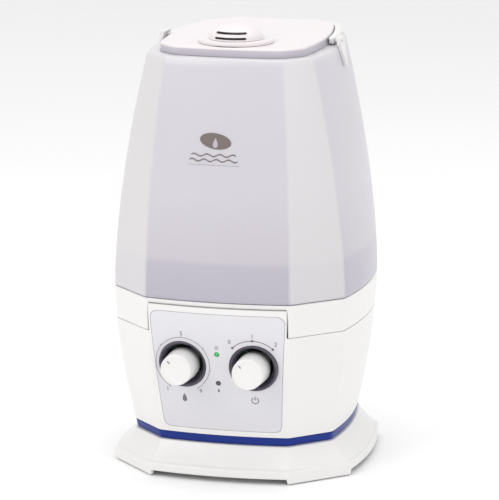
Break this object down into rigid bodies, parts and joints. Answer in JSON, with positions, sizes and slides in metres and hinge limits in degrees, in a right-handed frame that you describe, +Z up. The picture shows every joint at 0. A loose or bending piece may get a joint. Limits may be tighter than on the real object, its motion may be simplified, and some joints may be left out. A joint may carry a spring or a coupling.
{
  "type": "ultrasonic humidifier",
  "caption": "Free-standing ultrasonic humidifier: octagonal barrel with a lift-off translucent water tank, turning mist nozzle, folding carry handle and two front dials.",
  "frame": {"origin": "middle of the whole object's footprint box, on the surface that it stands on", "axes": "+Z up, -Y to the front with the two dials, +X to the right seen from the front"},
  "size_m": [0.2228, 0.2626, 0.391],
  "materials": {
    "white_plastic": "smooth moulded white plastic, soft gloss",
    "cover_plastic": "smooth off-white plastic",
    "tank_plastic": "translucent frosted plastic",
    "panel_plastic": "satin silver-grey panel",
    "dark_plastic": "glossy dark charcoal plastic",
    "blue_plastic": "deep blue translucent plastic",
    "grey_plastic": "plain grey moulding",
    "rubber": "matt black rubber",
    "steel": "plain steel",
    "brass": "plain brass",
    "circuit_board": "green circuit board",
    "green_light": "green lens",
    "filter_foam": "open foam",
    "ceramic": "cream heat-resistant moulding"
  },
  "bodies": {
    "base": {"base_tray": "white_plastic", "bottom_cover": "white_plastic", "lower_housing": "white_plastic", "upper_basin": "white_plastic", "control_panel": "panel_plastic", "mist_knob_bezel": "dark_plastic", "power_knob_bezel": "dark_plastic", "empty_light": "dark_plastic", "blue_ring": "blue_plastic", "mist_potentiometer": "grey_plastic", "power_switch": "grey_plastic", "float_cap": "grey_plastic", "blower_housing": "grey_plastic", "air_duct": "grey_plastic", "rubber_foot_1": "rubber", "rubber_foot_2": "rubber", "rubber_foot_3": "rubber", "rubber_foot_4": "rubber", "transducer_seal": "rubber", "inlet_gland": "rubber", "cover_screw_1": "steel", "cover_screw_2": "steel", "cover_screw_3": "steel", "cover_screw_4": "steel", "heater_plate": "steel", "blower_motor": "steel", "transformer": "steel", "heat_sink": "steel", "transducer_disc": "brass", "lamp_board": "circuit_board", "power_board": "circuit_board", "driver_board": "circuit_board", "power_light": "green_light", "air_filter": "filter_foam", "transducer_holder": "ceramic"},
    "tank": {"tank_shell": "tank_plastic", "tank_floor": "tank_plastic", "mist_chimney": "tank_plastic", "top_cover": "cover_plastic", "handle_bracket_left": "white_plastic", "handle_bracket_right": "white_plastic", "handle_pin_left": "steel", "handle_pin_right": "steel"},
    "handle": {"carry_handle": "white_plastic"},
    "nozzle_base": {"nozzle_collar": "cover_plastic"},
    "nozzle_top": {"nozzle_hood": "cover_plastic"},
    "cap": {"tank_cap": "white_plastic", "cap_seal": "rubber", "valve_cage": "grey_plastic", "valve_spring": "steel"},
    "valve": {"valve_stem": "grey_plastic", "valve_seal": "rubber"},
    "float": {"float_ring": "ceramic"},
    "mist_dial": {"mist_knob": "white_plastic", "mist_shaft": "steel"},
    "power_dial": {"power_knob": "white_plastic", "power_shaft": "steel"},
    "blower": {"blower_rotor": "white_plastic"}
  },
  "joints": [
    {"name": "tank_lift", "type": "slide", "parent": "base", "child": "tank", "axis": [0, 0, 1], "range_m": [0, 0.1]},
    {"name": "handle_fold", "type": "hinge", "parent": "tank", "child": "handle", "pos_m": [0, 0.00791, 0.3709], "axis": [1, 0, 0], "range_deg": [0, 90]},
    {"name": "nozzle_lift", "type": "slide", "parent": "tank", "child": "nozzle_base", "axis": [0, 0, 1], "range_m": [0, 0.03]},
    {"name": "nozzle_turn", "type": "hinge", "parent": "nozzle_base", "child": "nozzle_top", "pos_m": [0, -0.04609, 0.3787], "axis": [0, 0, 1], "continuous": true},
    {"name": "cap_turn", "type": "hinge", "parent": "tank", "child": "cap", "pos_m": [0, 0.03691, 0.165], "axis": [0, 0, 1], "range_deg": [0, 90]},
    {"name": "valve_slide", "type": "slide", "parent": "cap", "child": "valve", "axis": [0, 0, -1], "range_m": [0, 0.0032], "deforming": ["valve_spring"]},
    {"name": "float_rise", "type": "slide", "parent": "base", "child": "float", "axis": [0, 0, 1], "range_m": [0, 0.011]},
    {"name": "mist_turn", "type": "hinge", "parent": "base", "child": "mist_dial", "pos_m": [-0.0315, -0.13129, 0.1028], "axis": [0, 1, 0], "range_deg": [-90, 180]},
    {"name": "power_turn", "type": "hinge", "parent": "base", "child": "power_dial", "pos_m": [0.0315, -0.13129, 0.1028], "axis": [0, 1, 0], "range_deg": [0, 90]},
    {"name": "blower_spin", "type": "hinge", "parent": "base", "child": "blower", "pos_m": [-0.042, 0.02191, 0.02], "axis": [0, 0, 1], "continuous": true}
  ],
  "couplings": [
    {"joint": "valve_slide", "follows": "tank_lift", "ratio": 0.032}
  ]
}
